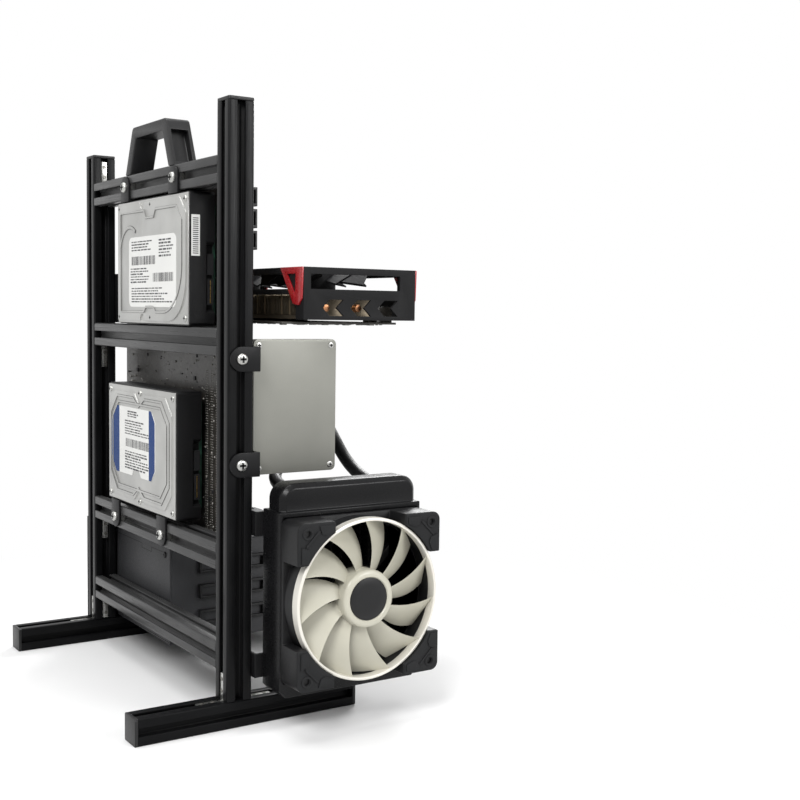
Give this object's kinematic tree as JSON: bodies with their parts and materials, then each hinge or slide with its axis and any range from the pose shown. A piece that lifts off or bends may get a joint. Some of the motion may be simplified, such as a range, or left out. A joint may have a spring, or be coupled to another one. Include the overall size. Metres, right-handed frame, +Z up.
{
  "type": "open air test bench",
  "caption": "Open frame of slotted bars that carries a mainboard, graphics card, power supply, drives and a liquid cooler in the open air, with a carry handle",
  "frame": {"origin": "on the floor under the middle of the whole bench", "axes": "X to the right seen from the mainboard side, Y towards the hard drives at the back, Z up"},
  "size_m": [0.3598, 0.242, 0.456],
  "materials": {
    "black_bar": "satin black anodised",
    "black_plate": "satin black coat",
    "bright_steel": "zinc plated",
    "black_handle": "fine grain",
    "cast_aluminium": "as cast",
    "drive_lid": "satin",
    "label_paper": "satin print",
    "circuit_green": "lacquered",
    "circuit_black": "lacquered",
    "socket_black": "moulded",
    "heatsink_dark": "dark anodised",
    "heatsink_silver": "bare",
    "port_steel": "plated",
    "ssd_grey": "satin",
    "radiator_black": "satin black",
    "fan_cream": "moulded",
    "fan_black": "moulded",
    "pad_rubber": "soft",
    "pump_black": "polished",
    "hose_rubber": "smooth",
    "card_black": "moulded",
    "card_red": "moulded",
    "psu_charcoal": "fine texture"
  },
  "bodies": {
    "bench": {"audio_jacks": "socket_black", "bottom_crossbar": "black_bar", "cable_sockets": "socket_black", "card_board": "circuit_black", "card_bracket": "bright_steel", "card_heatsink": "heatsink_silver", "card_plate": "black_plate", "card_shroud": "card_black", "card_slots": "socket_black", "card_trim": "card_red", "chipset_heatsink": "heatsink_dark", "corner_connectors": "bright_steel", "cpu_socket": "port_steel", "drive_boards": "circuit_green", "drive_labels": "label_paper", "end_caps": "black_handle", "fan_frame": "fan_black", "fan_pads": "pad_rubber", "frame_screws": "bright_steel", "handle": "black_handle", "hose_fittings": "pump_black", "left_foot": "black_bar", "left_upright": "black_bar", "lower_crossbar": "black_bar", "lower_drive_base": "cast_aluminium", "lower_drive_cover": "drive_lid", "lower_hose": "hose_rubber", "mainboard": "circuit_black", "memory_slots": "socket_black", "middle_crossbar": "black_bar", "mouse_port": "socket_black", "port_towers": "port_steel", "power_heatsink": "heatsink_silver", "psu_bracket": "black_plate", "psu_case": "psu_charcoal", "psu_cover": "psu_charcoal", "psu_inlet": "socket_black", "psu_sockets": "socket_black", "pump_body": "pump_black", "pump_bracket": "bright_steel", "radiator_core": "radiator_black", "radiator_frame": "radiator_black", "right_foot": "black_bar", "right_upright": "black_bar", "slot_nuts": "bright_steel", "ssd_case": "ssd_grey", "ssd_cover": "ssd_grey", "standoffs": "bright_steel", "tab_brackets": "black_plate", "top_crossbar": "black_bar", "upper_drive_base": "cast_aluminium", "upper_drive_cover": "drive_lid", "upper_hose": "hose_rubber"},
    "radiator_fan": {"fan_rotor": "fan_cream"},
    "left_card_fan": {"card_left_fan": "card_black"},
    "right_card_fan": {"card_right_fan": "card_black"},
    "supply_fan": {"psu_fan": "fan_black"}
  },
  "joints": [
    {"name": "radiator_fan_spin", "type": "hinge", "parent": "bench", "child": "radiator_fan", "pos_m": [-0.1683, -0.035, 0.098], "axis": [-1, 0, 0], "continuous": true},
    {"name": "left_card_fan_spin", "type": "hinge", "parent": "bench", "child": "left_card_fan", "pos_m": [-0.06282, -0.052, 0.3276], "axis": [0, 0, 1], "continuous": true},
    {"name": "right_card_fan_spin", "type": "hinge", "parent": "bench", "child": "right_card_fan", "pos_m": [0.06822, -0.052, 0.3276], "axis": [0, 0, 1], "continuous": true},
    {"name": "supply_fan_spin", "type": "hinge", "parent": "bench", "child": "supply_fan", "pos_m": [0.1057, -0.046, 0.034], "axis": [0, 0, 1], "continuous": true}
  ]
}
